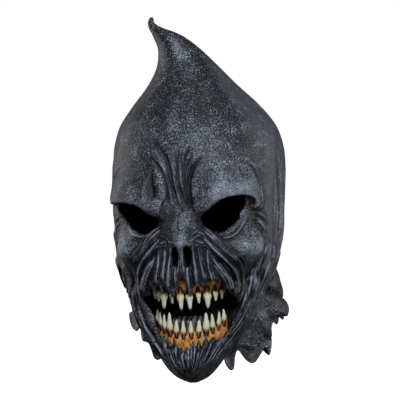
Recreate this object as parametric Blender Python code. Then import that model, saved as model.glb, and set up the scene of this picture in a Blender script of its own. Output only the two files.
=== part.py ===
"""A latex over-the-head horror mask: a peaked hood moulded together with a snarling
face, with cast dental plates and teeth, a jaw that opens and a ragged neck skirt.

All sizes are in millimetres, and MM turns them into Blender's metres. The mask faces
-Y, +X is the wearer's left and +Z is up. The origin is where the wearer's crown meets
the foam pad under the peak.
"""

import math
from bisect import bisect_left

import bmesh
import bpy
from mathutils import Matrix, Vector

MM = 0.001

# Walls and gaps
WALL = 2.4
GAP = 0.3

# The skin is written in (s, z): s is the angle round the head in hundredths of a
# radian, close to millimetres on the face, 0 at the nose and positive to the wearer's left.
S_PER_RADIAN = 100.0
SEAM_S = math.radians(95) * S_PER_RADIAN
BACK_S = math.pi * S_PER_RADIAN

# The hood's level sections: height, centre x, centre y, half width, reach to the
# front, reach to the back, squareness of the front half (2 is an ellipse).
PROFILE = (
    (-290, 0, -65, 5, 6, 6, 2.0),
    (-284, 0, -63, 17, 20, 19, 2.0),
    (-270, 0, -58, 31, 36, 33, 2.1),
    (-250, 0, -49, 45, 50, 48, 2.2),
    (-225, 0, -35, 60, 66, 68, 2.35),
    (-200, 0, -20, 69, 83, 85, 2.5),
    (-175, 0, -10, 80, 96, 92, 2.65),
    (-150, 0, -4, 86, 104, 98, 2.75),
    (-120, 0, 0, 88, 108, 104, 2.75),
    (-85, 0, 2, 90, 110, 106, 2.6),
    (-50, 0, 3, 89, 106, 102, 2.4),
    (-25, 0, 4, 83, 96, 94, 2.25),
    (-2, -2, 4, 67, 75, 76, 2.1),
    (18, -5, 2, 48, 54, 56, 2.05),
    (38, -10, -1, 33, 36, 38, 2.0),
    (57, -18, -4, 22.5, 23, 24, 2.0),
    (70, -28, -7, 16.5, 16, 16, 2.0),
    (76, -35, -9, 12.0, 11, 11, 2.0),
    (81, -42.5, -11, 6.5, 6, 6, 2.0),
    (86, -46, -12, 3.4, 3.4, 3.4, 2.0),
    (91, -45.5, -12, 1.6, 1.6, 1.6, 2.0),
)
BACK_SQUARENESS = 2.1

# Relief of the face: s, z, radius along s, radius along z, height. Each is mirrored.
RELIEF = (
    (26, -101, 14, 9, 6.0),  # inner brow
    (46, -88, 15, 9, 7.0),  # middle of the brow
    (67, -84, 15, 9, 6.0),  # outer brow
    (84, -102, 9, 12, 3.0),  # brow end
    (44, -118, 24, 13, -6.0),  # eye socket
    (0, -117, 9, 9, -3.0),  # root of the nose
    (0, -140, 10, 12, 9.0),  # nose
    (0, -157, 16, 8, -2.0),  # nose hollow
    (70, -146, 16, 13, 6.0),  # cheekbone
    (64, -186, 18, 20, -5.0),  # hollow of the cheek
    (0, -186, 44, 18, 7.0),  # upper lip over the plate
    (0, -262, 60, 14, 3.0),  # chin
)

# Openings seen from the front, as x and z; the eye and nostril are mirrored.
EYE_OUTLINE = (
    (21, -121), (33, -112), (47, -103), (60, -96), (70, -98), (75, -106),
    (67, -120), (55, -130), (40, -134), (28, -130),
)  # fmt: skip
NOSTRIL_OUTLINE = ((4, -147), (8, -151), (10.5, -160), (7.5, -163), (4, -160))
MOUTH_HALF = (
    (0, -196), (20, -195), (38, -199), (49, -208), (53, -214),
    (47, -226), (39, -240), (26, -252), (10, -258),
)  # fmt: skip

# Edges of the skin
TIP_Z = 64.0
FRONT_EDGE_Z = -206.0
JAW_TOP_Z = -207.5
JAW_LOW_Z = -288.0
JAW_S = math.radians(85) * S_PER_RADIAN
NAPE_Z = -176.0
EDGE_BLEND_Z = -139.0
SKIN_ROWS = (FRONT_EDGE_Z, -197, -188, -179, -170, -161, -153, -146, EDGE_BLEND_Z, -131,
             -122, -113, -104, -95, -86, -74, -60, -44, -28, -12, 4, 20, 36, 50, TIP_Z - GAP)  # fmt: skip

# Neck skirt
SKIRT_LAP = 9.0
SKIRT_INSET = WALL + 1.4
SKIRT_TOP_ANGLE = 78.0
SKIRT_HEM_ANGLE = 128.0
SKIRT_HEM_CENTRE_Y = 12.0
SKIRT_HEM_RADII = (77, 75)
SKIRT_BACK_Z = -214.0
SKIRT_SIDE_DROP = 54.0
SKIRT_TABS = 9
TAB_DEPTH = 7.0

# Dental plates: an elliptical arch with a pitch, in a jaw bone 7 mm thick
PLATE_THICKNESS = 7.0
PLATE_ANGLE = 76.0
UPPER_ARCH = {"centre_y": -62, "radii": (39, 36), "gum_z": -194.5, "edge_z": -178.5, "pitch": 4}
LOWER_ARCH = {"centre_y": -57, "radii": (36, 33), "gum_z": -237.5, "edge_z": -255.5, "pitch": 28}
# name, angle on the arch, width, length past the gum
UPPER_TEETH = (
    ("incisor", 6.5, 6.6, 18.5),
    ("lateral", 20, 4.6, 12.5),
    ("fang", 34, 7.4, 18.0),
    ("premolar", 48, 5.0, 12.0),
    ("molar", 62, 5.0, 11.0),
)
LOWER_TEETH = (
    ("incisor", 6, 4.8, 14.0),
    ("lateral", 18, 5.2, 14.5),
    ("fang", 30, 6.8, 20.0),
    ("first_premolar", 41.5, 4.8, 16.0),
    ("second_premolar", 53, 4.6, 15.0),
    ("molar", 66, 5.4, 13.5),
)
ROOT_LENGTH = 6.0
TOOTH_SIDES = 6
TOOTH_DEPTH = 0.8

# Soft pieces and the tongue
PAD_THICKNESS = 8.0
CROWN_PAD_RADII = (46, 52)
CROWN_PAD_CENTRE_Y = 4.0
FILLER_INSET = WALL + 2.0
CHIN_PAD = {"centre": (0, -65, -259), "size": (38, 26, 16)}
TONGUE = {"centre": (0, -76, -230.5), "radii": (19, 8.5, 9.5)}
SCRIM = {"half_width": 52, "half_width_low": 38, "taper_z": -226, "front_y": -65.5, "side_y": -57, "top": -182, "bottom": -248}
SCRIM_THICKNESS = 0.8

COLOURS = {
    "latex": (0.035, 0.037, 0.042, 1),
    "bone": (0.42, 0.17, 0.04, 1),
    "tooth": (0.70, 0.60, 0.38, 1),
    "tongue": (0.06, 0.065, 0.06, 1),
    "scrim": (0.01, 0.01, 0.01, 1),
    "foam": (0.09, 0.09, 0.09, 1),
}
ROUGHNESS = {"latex": 0.5, "bone": 0.35, "tooth": 0.3, "tongue": 0.45, "scrim": 0.95, "foam": 0.9}


# --- scene helpers


def clear_scene():
    for obj in list(bpy.data.objects):
        bpy.data.objects.remove(obj)


def material(name):
    found = bpy.data.materials.get(name)
    if found:
        return found
    made = bpy.data.materials.new(name)
    made.use_nodes = True
    shader = made.node_tree.nodes["Principled BSDF"]
    shader.inputs["Base Color"].default_value = COLOURS[name]
    shader.inputs["Roughness"].default_value = ROUGHNESS[name]
    return made


def add_object(name, bm, finish, smooth=True):
    """Turns a bmesh drawn in millimetres into a scene object."""
    bmesh.ops.scale(bm, vec=(MM, MM, MM), verts=bm.verts)
    mesh = bpy.data.meshes.new(name)
    bm.to_mesh(mesh)
    bm.free()
    if smooth:
        mesh.shade_smooth()
        mesh.set_sharp_from_angle(angle=math.radians(45))
    obj = bpy.data.objects.new(name, mesh)
    obj.data.materials.append(material(finish))
    bpy.context.scene.collection.objects.link(obj)
    return obj


def add_wall(obj, thickness, offset=-1.0):
    solidify = obj.modifiers.new("wall", "SOLIDIFY")
    solidify.thickness = thickness * MM
    solidify.offset = offset
    solidify.use_even_offset = True


def add_cut(obj, cutter):
    cutter.hide_render = True
    cutter.display_type = "WIRE"
    boolean = obj.modifiers.new("cut_" + cutter.name, "BOOLEAN")
    boolean.operation = "DIFFERENCE"
    boolean.object = cutter


def sheet(columns, rows, place):
    """A grid of points place(column, row), with rows given from low to high."""
    bm = bmesh.new()
    across, up = len(columns) - 1, len(rows) - 1
    bmesh.ops.create_grid(bm, x_segments=across, y_segments=up, size=0.5)
    for vert in bm.verts:
        column = columns[round((vert.co.x + 0.5) * across)]
        row = rows[round((vert.co.y + 0.5) * up)]
        vert.co = place(column, row)
    return bm


def slab(columns, rows, place):
    """A closed wall: drawn as a flat slab, then wrapped by place(column, row, depth)."""
    bm = bmesh.new()
    across, up = len(columns) - 1, len(rows) - 1
    bmesh.ops.create_grid(bm, x_segments=across, y_segments=up, size=0.5)
    pushed = bmesh.ops.extrude_face_region(bm, geom=bm.faces[:])["geom"]
    moved = [v for v in pushed if isinstance(v, bmesh.types.BMVert)]
    bmesh.ops.translate(bm, vec=(0, 0, -1), verts=moved)
    bmesh.ops.recalc_face_normals(bm, faces=bm.faces)
    for vert in bm.verts:
        column = columns[round((vert.co.x + 0.5) * across)]
        row = rows[round((vert.co.y + 0.5) * up)]
        vert.co = place(column, row, -vert.co.z)
    return bm


def steps(low, high, count):
    return [low + (high - low) * i / count for i in range(count + 1)]


def prism(outline, front_y, back_y):
    """An outline of x and z, extruded along Y."""
    bm = bmesh.new()
    face = bm.faces.new([bm.verts.new((x, front_y, z)) for x, z in outline])
    pushed = bmesh.ops.extrude_face_region(bm, geom=[face])["geom"]
    moved = [v for v in pushed if isinstance(v, bmesh.types.BMVert)]
    bmesh.ops.translate(bm, vec=(0, back_y - front_y, 0), verts=moved)
    bmesh.ops.recalc_face_normals(bm, faces=bm.faces)
    return bm


def stacked_rings(rings):
    """A closed solid through rings of points, all with the same count."""
    bm = bmesh.new()
    edges = []
    for ring in rings:
        verts = [bm.verts.new(point) for point in ring]
        edges += [bm.edges.new((verts[i - 1], verts[i])) for i in range(len(verts))]
    bmesh.ops.bridge_loops(bm, edges=edges)
    ends = [edge for edge in bm.edges if edge.is_boundary]
    bmesh.ops.holes_fill(bm, edges=ends)
    bmesh.ops.recalc_face_normals(bm, faces=bm.faces)
    return bm


# --- the skin's shape


def section(z):
    """The level section at height z, smoothly between the rows of PROFILE."""
    heights = [row[0] for row in PROFILE]
    z = min(max(z, heights[0]), heights[-1])
    i = min(max(bisect_left(heights, z), 1), len(PROFILE) - 1) - 1
    before, low, high, after = (PROFILE[min(max(i + k, 0), len(PROFILE) - 1)] for k in (-1, 0, 1, 2))
    span = high[0] - low[0]
    t = (z - low[0]) / span
    found = []
    for k in range(1, len(low)):
        slope_low = (high[k] - before[k]) / (high[0] - before[0]) * span
        slope_high = (after[k] - low[k]) / (after[0] - low[0]) * span
        found.append(
            (2 * t**3 - 3 * t**2 + 1) * low[k]
            + (t**3 - 2 * t**2 + t) * slope_low
            + (3 * t**2 - 2 * t**3) * high[k]
            + (t**3 - t**2) * slope_high
        )
    return found


def relief(s, z):
    height = 0.0
    for at_s, at_z, radius_s, radius_z, rise in RELIEF:
        for side in (1, -1) if at_s else (1,):
            across, up = (s - side * at_s) / radius_s, (z - at_z) / radius_z
            height += rise * math.exp(-across * across - up * up)
    return height


def skin_point(s, z, inset=0.0):
    """A point of the skin's outer face, or inset towards the middle of its section."""
    centre_x, centre_y, half_width, front, back, squareness = section(z)
    angle = s / S_PER_RADIAN
    facing = math.cos(angle) > 0
    reach, power = (front, squareness) if facing else (back, BACK_SQUARENESS)
    wide = (abs(math.sin(angle)) / half_width) ** power
    deep = (abs(math.cos(angle)) / reach) ** power
    radius = (wide + deep) ** (-1 / power) + relief(s, z) - inset
    return Vector((centre_x + radius * math.sin(angle), centre_y - radius * math.cos(angle), z))


def skin_wall(s, z, depth):
    """A point of the skin's outer face, at depth 0, or of its inner face, at depth 1."""
    along = skin_point(s + 1, z) - skin_point(s - 1, z)
    up = skin_point(s, z + 1) - skin_point(s, z - 1)
    point = skin_point(s, z) - depth * WALL * along.cross(up).normalized()
    point.z = min(point.z, TIP_Z - GAP)
    return point


def rim_z(s):
    """Height of the rear skin's lower edge: a slope from the nape down to the jaw."""
    share = (BACK_S - abs(s)) / (BACK_S - SEAM_S)
    return NAPE_Z + (FRONT_EDGE_Z - NAPE_Z) * min(share / 0.75, 1.0) ** 1.4


def to_rim(z, edge_z):
    """Squeezes the rows below EDGE_BLEND_Z so that the lowest one lies on the rim."""
    if z >= EDGE_BLEND_Z:
        return z
    squeeze = (edge_z - EDGE_BLEND_Z) / (FRONT_EDGE_Z - EDGE_BLEND_Z)
    return EDGE_BLEND_Z + (z - EDGE_BLEND_Z) * squeeze


# --- the skin's pieces


def mirrored(half):
    return sorted({-x for x in half} | set(half))


def front_skin():
    """The face, the front of the hood and of the peak, down to the upper lip."""
    half = (0, 6, 13, 22, 31, 40, 49, 58, 67, 76, 87, 102, 120, 142, SEAM_S - GAP / 2)
    obj = add_object("front_skin", slab(mirrored(half), SKIN_ROWS, skin_wall), "latex")
    for side, word in ((1, "left"), (-1, "right")):
        for what, outline in (("eye", EYE_OUTLINE), ("nostril", NOSTRIL_OUTLINE)):
            points = [(side * x, z) for x, z in outline]
            cutter = add_object(f"{word}_{what}_cutter", prism(points, -150, -45), "latex", False)
            add_cut(obj, cutter)
    return obj


def rear_skin():
    """The back of the hood, with its lower edge sloping from the nape to the jaw."""
    columns = steps(SEAM_S + GAP / 2, 2 * BACK_S - SEAM_S - GAP / 2, 18)

    def place(s, row, depth):
        around = s if s < BACK_S else s - 2 * BACK_S
        return skin_wall(s, to_rim(row, rim_z(around)), depth)

    return add_object("rear_skin", slab(columns, SKIN_ROWS, place), "latex")


def jaw_skin():
    """The chin and the lower cheeks, below the corners of the mouth."""
    rows = (JAW_LOW_Z, -284, -279, -273, -266, -258, -250, -241, -232, -222, -214, JAW_TOP_Z)
    return add_object("jaw_skin", slab(steps(-JAW_S, JAW_S, 18), rows, skin_wall), "latex")


def mouth_cutter():
    outline = list(MOUTH_HALF) + [(-x, z) for x, z in reversed(MOUTH_HALF) if x]
    return add_object("mouth_cutter", prism(outline, -150, -70), "latex", False)


def hood_tip():
    """The solid curl of latex at the end of the peak."""
    heights = (TIP_Z, 70, 75, 79, 83, 87, 90.5)
    rings = [[skin_point(s, z) for s in steps(0, 2 * BACK_S, 20)[:-1]] for z in heights]
    return add_object("hood_tip", stacked_rings(rings), "latex")


def neck_skirt():
    """The ragged flap that hangs from inside the rim, open in front."""

    def place(side, down):
        """down runs from -1 at the top of the lap, through 0 at the rim, to 1 at the hem."""
        s = math.radians(180 - side * SKIRT_TOP_ANGLE) * S_PER_RADIAN
        rim = rim_z(s if s < BACK_S else s - 2 * BACK_S)
        lapped = skin_point(s, rim - SKIRT_LAP * min(down, 0) - WALL, SKIRT_INSET)
        hem_angle = math.radians(180 - side * SKIRT_HEM_ANGLE)
        tab = TAB_DEPTH * math.cos(SKIRT_TABS * math.pi * side)
        hem = Vector((
            SKIRT_HEM_RADII[0] * math.sin(hem_angle),
            SKIRT_HEM_CENTRE_Y - SKIRT_HEM_RADII[1] * math.cos(hem_angle),
            SKIRT_BACK_Z - SKIRT_SIDE_DROP * abs(side) ** 1.6 + tab,
        ))  # fmt: skip
        return lapped.lerp(hem, max(down, 0))

    bm = sheet(steps(-1, 1, 36), (1, 0.78, 0.5, 0.24, 0, -0.5, -1), place)
    bmesh.ops.reverse_faces(bm, faces=bm.faces)
    obj = add_object("neck_skirt", bm, "latex")
    add_wall(obj, WALL)
    return obj


# --- the mouth


def arch_point(arch, angle, z, outward=0.0):
    """A point of a dental arch; z is its height at the front, and the arch is pitched."""
    turn = math.radians(angle)
    x = (arch["radii"][0] + outward) * math.sin(turn)
    y = arch["centre_y"] - (arch["radii"][1] + outward) * math.cos(turn)
    front_y = arch["centre_y"] - arch["radii"][1]
    return Vector((x, y, z + (y - front_y) * math.tan(math.radians(arch["pitch"]))))


def tooth_profile(width, length, grown=0.0):
    """Half of a tooth's outline, as radius and height past the gum."""
    half = width / 2 + grown
    return (
        (0, -ROOT_LENGTH - grown),
        (0.60 * half, -ROOT_LENGTH - grown),
        (0.78 * half, 0),
        (half, 0.30 * length),
        (0.62 * half, 0.72 * length),
        (0, length + 2 * grown),
    )


def turned(profile):
    bm = bmesh.new()
    verts = [bm.verts.new((radius, 0, height)) for radius, height in profile]
    edges = [bm.edges.new(pair) for pair in zip(verts, verts[1:])]
    bmesh.ops.spin(
        bm, geom=verts + edges, cent=(0, 0, 0), axis=(0, 0, 1),
        angle=2 * math.pi, steps=TOOTH_SIDES, use_merge=True,
    )  # fmt: skip
    bmesh.ops.remove_doubles(bm, verts=bm.verts, dist=0.001)
    bmesh.ops.recalc_face_normals(bm, faces=bm.faces)
    return bm


def tooth_place(arch, angle, up):
    """The matrix that stands a tooth on the gum, leaning a little outwards."""
    foot = arch_point(arch, angle, arch["gum_z"])
    out = Vector((math.sin(math.radians(angle)), -math.cos(math.radians(angle)), 0))
    grow = (Vector((0, 0, up)) + 0.12 * out).normalized()
    across = grow.cross(out).normalized()
    depth = grow.cross(across) * TOOTH_DEPTH
    basis = Matrix((across, depth, grow)).transposed().to_4x4()
    return Matrix.Translation(foot) @ basis


def dental_set(row, arch, teeth, up):
    """One plate of jaw bone and its teeth, each tooth seated in its own socket."""
    heights = sorted((arch["gum_z"], arch["edge_z"]))
    bm = sheet(steps(-PLATE_ANGLE, PLATE_ANGLE, 16), heights, lambda a, z: arch_point(arch, a, z))
    plate = add_object(f"{row}_dental_plate", bm, "bone", False)
    add_wall(plate, PLATE_THICKNESS, 0.0)
    sockets = bmesh.new()
    for side, word in ((1, "left"), (-1, "right")):
        for name, angle, width, length in teeth:
            place = tooth_place(arch, side * angle, up)
            tooth = turned(tooth_profile(width, length))
            bmesh.ops.transform(tooth, matrix=place, verts=tooth.verts)
            bmesh.ops.recalc_face_normals(tooth, faces=tooth.faces)
            add_object(f"{row}_{word}_{name}", tooth, "tooth")
            socket = turned(tooth_profile(width, length, 2 * GAP))
            bmesh.ops.transform(socket, matrix=place, verts=socket.verts)
            bmesh.ops.recalc_face_normals(socket, faces=socket.faces)
            mesh = bpy.data.meshes.new("socket")
            socket.to_mesh(mesh)
            socket.free()
            sockets.from_mesh(mesh)
    add_cut(plate, add_object(f"{row}_socket_cutter", sockets, "bone", False))


def tongue():
    bm = bmesh.new()
    bmesh.ops.create_uvsphere(bm, u_segments=12, v_segments=6, radius=1)
    bmesh.ops.scale(bm, vec=TONGUE["radii"], verts=bm.verts)
    bmesh.ops.translate(bm, vec=TONGUE["centre"], verts=bm.verts)
    return add_object("tongue", bm, "tongue")


def mouth_scrim():
    """Black gauze fixed behind the lower teeth, which hides the wearer's mouth."""

    def place(share, z):
        bow = SCRIM["front_y"] + (SCRIM["side_y"] - SCRIM["front_y"]) * share * share
        down = max(0, (SCRIM["taper_z"] - z) / (SCRIM["taper_z"] - SCRIM["bottom"]))
        half = SCRIM["half_width"] + (SCRIM["half_width_low"] - SCRIM["half_width"]) * down
        return Vector((share * half, bow, z))

    bm = sheet(steps(-1, 1, 10), (SCRIM["bottom"], SCRIM["taper_z"], SCRIM["top"]), place)
    obj = add_object("mouth_scrim", bm, "scrim")
    add_wall(obj, SCRIM_THICKNESS)
    return obj


# --- padding


def crown_pad():
    """The foam disc whose flat underside rests on the wearer's crown."""
    bm = bmesh.new()
    bmesh.ops.create_cone(
        bm, cap_ends=True, segments=28, radius1=1.0, radius2=0.94, depth=PAD_THICKNESS - GAP
    )
    bmesh.ops.scale(bm, vec=(*CROWN_PAD_RADII, 1), verts=bm.verts)
    lift = (PAD_THICKNESS - GAP) / 2
    bmesh.ops.translate(bm, vec=(-2, CROWN_PAD_CENTRE_Y, lift), verts=bm.verts)
    return add_object("crown_pad", bm, "foam")


def peak_filler():
    """The foam cone that keeps the hollow peak standing."""
    heights = (PAD_THICKNESS, 18, 30, 42, 52, 59)
    rings = [
        [skin_point(s, z, FILLER_INSET) for s in steps(0, 2 * BACK_S, 16)[:-1]] for z in heights
    ]
    return add_object("peak_filler", stacked_rings(rings), "foam")


def chin_pad():
    """The foam block that takes the wearer's chin, so that the jaw follows it."""
    bm = bmesh.new()
    bmesh.ops.create_cube(bm, size=1)
    bmesh.ops.scale(bm, vec=CHIN_PAD["size"], verts=bm.verts)
    bmesh.ops.bevel(bm, geom=bm.edges[:], offset=3, segments=2, affect="EDGES", profile=0.5)
    bmesh.ops.translate(bm, vec=CHIN_PAD["centre"], verts=bm.verts)
    return add_object("chin_pad", bm, "foam")


def main():
    clear_scene()
    mouth = mouth_cutter()
    for skin in (front_skin(), jaw_skin()):
        add_cut(skin, mouth)
    rear_skin()
    hood_tip()
    neck_skirt()
    dental_set("upper", UPPER_ARCH, UPPER_TEETH, -1)
    dental_set("lower", LOWER_ARCH, LOWER_TEETH, 1)
    tongue()
    mouth_scrim()
    crown_pad()
    peak_filler()
    chin_pad()


main()
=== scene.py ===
import math
import bmesh
import bpy
import numpy as np
from mathutils import Matrix, Vector


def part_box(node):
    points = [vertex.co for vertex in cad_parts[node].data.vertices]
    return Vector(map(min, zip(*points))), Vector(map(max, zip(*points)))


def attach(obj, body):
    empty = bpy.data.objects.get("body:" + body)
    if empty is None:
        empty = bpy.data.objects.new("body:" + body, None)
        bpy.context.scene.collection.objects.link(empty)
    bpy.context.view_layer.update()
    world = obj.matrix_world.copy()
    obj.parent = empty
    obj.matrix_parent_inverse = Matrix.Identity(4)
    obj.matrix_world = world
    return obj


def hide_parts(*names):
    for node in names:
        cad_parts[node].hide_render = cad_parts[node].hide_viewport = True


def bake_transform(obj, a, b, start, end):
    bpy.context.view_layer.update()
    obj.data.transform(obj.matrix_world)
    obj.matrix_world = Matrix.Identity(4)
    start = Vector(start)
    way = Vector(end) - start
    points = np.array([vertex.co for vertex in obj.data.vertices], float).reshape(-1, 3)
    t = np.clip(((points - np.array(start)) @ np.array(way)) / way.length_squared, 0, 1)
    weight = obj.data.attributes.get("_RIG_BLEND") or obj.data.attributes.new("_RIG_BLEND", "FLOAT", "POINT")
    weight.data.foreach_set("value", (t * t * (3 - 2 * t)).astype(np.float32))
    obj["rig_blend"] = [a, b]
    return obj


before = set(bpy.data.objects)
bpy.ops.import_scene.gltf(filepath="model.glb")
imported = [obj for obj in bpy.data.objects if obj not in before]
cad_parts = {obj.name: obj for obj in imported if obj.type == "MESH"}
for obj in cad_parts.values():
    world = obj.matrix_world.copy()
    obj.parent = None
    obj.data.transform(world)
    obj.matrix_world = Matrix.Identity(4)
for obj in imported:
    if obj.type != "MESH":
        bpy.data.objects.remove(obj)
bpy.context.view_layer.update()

# Lengths are in millimetres until a mesh is made. x is the wearer's left, y points backwards, z up.


# Material helpers

def linearColour(code):
    # sRGB hex to linear, with alpha
    parts = [int(code[i:i + 2], 16) / 255 for i in (1, 3, 5)]
    return [p / 12.92 if p <= 0.04045 else ((p + 0.055) / 1.055) ** 2.4 for p in parts] + [1.0]


def addNode(tree, kind, settings, output=0):
    # settings: a property, or a socket's name or number, to a value, a hex colour or another node's output
    node = tree.nodes.new("ShaderNode" + kind)
    for name, value in settings.items():
        if name == "stops":
            marks = node.color_ramp.elements
            while len(marks) < len(value):
                marks.new(0.5)
            for mark, (place, code) in zip(marks, value):
                mark.position = place
            for mark, (place, code) in zip(marks, value):
                mark.color = linearColour(code)
        elif isinstance(name, str) and hasattr(node, name):
            setattr(node, name, value)
        elif isinstance(value, bpy.types.NodeSocket):
            tree.links.new(value, node.inputs[name])
        else:
            node.inputs[name].default_value = linearColour(value) if isinstance(value, str) else value
    return node.outputs[output]


def startMaterial(name, roughness, ior=1.5):
    mat = bpy.data.materials.new(name)
    mat.use_nodes = True
    shader = mat.node_tree.nodes["Principled BSDF"]
    shader.inputs["Roughness"].default_value = roughness
    shader.inputs["IOR"].default_value = ior
    return mat, mat.node_tree, shader


# Cast latex rubber with an airbrushed black coat, dry-brushed in blue-grey. The brush catches the pores and
# every raised fold, under a satin clear coat. The creases and hollows are painted shade in near black, the
# hood's sides carry a painted grey reflection, and some brush patches carry painted highlights.
# Pores and brush specks are about 1 mm, brush streaks along the folds about 1.2 mm apart.
latexLook = {
    # groove is the near-black painted shade in the creases, side the painted grey reflection on the hood's
    # sides
    "groove": "#060708", "base": "#0b1114", "side": "#484b50",
    # the brush tints also colour the painted highlights
    "coolBrushAndHighlight": "#6a737f", "brushAndHighlight": "#88909c", "paleBrushAndHighlight": "#b0b5c0",
    "speck": 0.0015, "pore": 0.0018, "mottle": 0.012, "streakWide": 0.003, "streakLong": 0.026,
    "combing": 0.38, "grainWear": 5.5, "mottleWear": 1.4, "paintLoad": 1.15, "cover": 0.9, "bareBelow": 3.83,
    "roughness": 0.32, "paintDull": 0.2, "grooveDull": 0.18,
}


def makeLatex(look):
    mat, tree, shader = startMaterial("brushedBlackLatex", look["roughness"], 1.52)
    place = addNode(tree, "TexCoord", {}, "Object")
    brushed, groove, side, fibre = [addNode(tree, "Attribute", {"attribute_name": name}, "Fac")
                                    for name in ("brushed", "groove", "side", "fibre")]
    speck, mottle, pores = [
        addNode(tree, "TexNoise", {"Vector": place, "Scale": 1 / look[size],
                                   "Detail": detail, "Roughness": rough})
        for size, detail, rough in (("speck", 1.3, 0.7), ("mottle", 5.0, 0.62), ("pore", 3.0, 0.6))]
    # brush streaks run along the folds, in the piece's own UV map
    skin = addNode(tree, "UVMap", {"uv_map": "skin"})
    stretch = (1 / look["streakWide"], 1 / look["streakLong"], 1)
    along = addNode(tree, "Mapping", {"Vector": skin, "Scale": stretch})
    strand = addNode(tree, "TexNoise", {"Vector": along, "Scale": 1.0, "Detail": 3.0, "Roughness": 0.62})
    comb = addNode(tree, "TexWave", {"Vector": along, "Scale": 0.314, "Distortion": 2.2, "Detail": 2.0,
                                     "Detail Scale": 1.6, "Detail Roughness": 0.6}, "Fac")
    streak = addNode(tree, "Mix", {"data_type": "FLOAT", 0: look["combing"], 2: strand, 3: comb})
    grain = addNode(tree, "Mix", {"data_type": "FLOAT", 0: fibre, 2: speck, 3: streak})
    # painted reflection: grey on the hood's sides, where the white surroundings would reflect
    coat = addNode(tree, "Mix", {"data_type": "RGBA", 0: side, 6: look["base"], 7: look["side"]}, 2)
    # painted shade: the creases and hollows go near black
    coat = addNode(tree, "Mix", {"data_type": "RGBA", 0: groove, 6: coat, 7: look["groove"]}, 2)
    # how much of the coat the brush and the painted light have covered
    bare = -look["bareBelow"]
    cover = addNode(tree, "Math", {"operation": "MULTIPLY_ADD", 0: grain, 1: look["grainWear"], 2: bare})
    cover = addNode(tree, "Math", {"operation": "MULTIPLY_ADD", 0: mottle, 1: look["mottleWear"], 2: cover})
    cover = addNode(tree, "Math", {"operation": "MULTIPLY_ADD", 0: brushed, 1: look["paintLoad"], 2: cover})
    cover = addNode(tree, "Math", {"operation": "MULTIPLY", "use_clamp": True, 0: cover, 1: look["cover"]})
    tint = addNode(tree, "ValToRGB", {
        "Fac": mottle, "stops": [(0.36, look["coolBrushAndHighlight"]), (0.52, look["brushAndHighlight"]), (0.7, look["paleBrushAndHighlight"])]})
    colour = addNode(tree, "Mix", {"data_type": "RGBA", 0: cover, 6: coat, 7: tint}, 2)
    tree.links.new(colour, shader.inputs["Base Color"])
    clear = look["roughness"] - 0.04
    dull = addNode(tree, "Math", {"operation": "MULTIPLY_ADD", 0: cover, 1: look["paintDull"], 2: clear})
    dull = addNode(tree, "Math", {"operation": "MULTIPLY_ADD", 0: groove, 1: look["grooveDull"], 2: dull})
    tree.links.new(dull, shader.inputs["Roughness"])
    relief = addNode(tree, "Mix", {"data_type": "FLOAT", 0: fibre, 2: pores, 3: streak})
    bump = addNode(tree, "Bump", {"Strength": 0.8, "Distance": 0.0012, "Height": relief})
    tree.links.new(bump, shader.inputs["Normal"])
    return mat


# The inside of the casting: painted shade, near-black latex, matt and slightly uneven from slush casting.
insideLook = {"dark": "#0c0c0d", "light": "#1b1a1a", "wave": 0.012, "roughness": 0.72}


def makeInside(look):
    mat, tree, shader = startMaterial("shadeBlackLatexInside", look["roughness"], 1.52)
    place = addNode(tree, "TexCoord", {}, "Object")
    wave = addNode(tree, "TexNoise", {"Vector": place, "Scale": 1 / look["wave"], "Detail": 4.0})
    colour = addNode(tree, "ValToRGB", {"Fac": wave, "stops": [(0.35, look["dark"]), (0.7, look["light"])]})
    tree.links.new(colour, shader.inputs["Base Color"])
    return mat


latex = makeLatex(latexLook)
latexInside = makeInside(insideLook)
print("latex ready")


# Level sections of the hood from chin to peak:
# height, centre x, centre y, half width, reach forward, reach back, squareness of the face
hoodSections = np.array([
    (-291.6, 0, -65, 3, 4, 4, 2.0), (-285, 0, -63, 17, 20, 19, 2.0), (-271, 0, -58, 31, 36, 33, 2.1),
    (-250, 0, -49, 45, 50, 48, 2.2), (-225, 0, -35, 60, 66, 68, 2.35), (-200, 0, -20, 69, 83, 85, 2.5),
    (-175, 0, -10, 80, 96, 92, 2.65), (-150, 0, -4, 86, 104, 98, 2.75), (-120, 0, 0, 88, 108, 104, 2.75),
    (-85, 0, 2, 90, 110, 106, 2.6), (-50, 0, 3, 89, 106, 102, 2.4), (-25, -1.5, 4, 82, 96, 94, 2.25),
    (-2, -3.5, 4, 65.5, 75, 76, 2.1), (18, -6, 2, 47.5, 54, 56, 2.05), (38, -10, -1, 33, 36, 38, 2.0),
    (57, -18, -4, 22.5, 23, 24, 2.0), (70, -28, -7, 16.5, 16, 16, 2.0), (76, -35, -9, 12, 11, 11, 2.0),
    (81, -42.5, -11, 6.5, 6, 6, 2.0), (86, -46, -12, 3.4, 3.4, 3.4, 2.0),
    (89.5, -45.6, -12, 2.6, 2.6, 2.6, 2.0), (91.4, -45.2, -12, 1.5, 1.5, 1.5, 2.0),
    (91.9, -45, -12, 0.02, 0.02, 0.02, 2.0),
], float)
# s runs round the head in hundredths of a radian, 0 at the nose, plus to the wearer's left
turn = math.pi * 200
seamS = math.radians(95) * 100  # where the front and the back of the casting meet


def sectionAt(z):
    # smooth values between the rows
    z = np.clip(z, hoodSections[0, 0], hoodSections[-1, 0])
    i = np.clip(np.searchsorted(hoodSections[:, 0], z), 1, len(hoodSections) - 1) - 1
    low, high = hoodSections[i], hoodSections[i + 1]
    before, after = hoodSections[np.maximum(i - 1, 0)], hoodSections[np.minimum(i + 2, len(hoodSections) - 1)]
    span = high[:, :1] - low[:, :1]
    t = (z[:, None] - low[:, :1]) / span
    leave = (high - before) / (high[:, :1] - before[:, :1]) * span
    reach = (after - low) / (after[:, :1] - low[:, :1]) * span
    return ((2 * t**3 - 3 * t**2 + 1) * low + (t**3 - 2 * t**2 + t) * leave
            + (3 * t**2 - 2 * t**3) * high + (t**3 - t**2) * reach)


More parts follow.
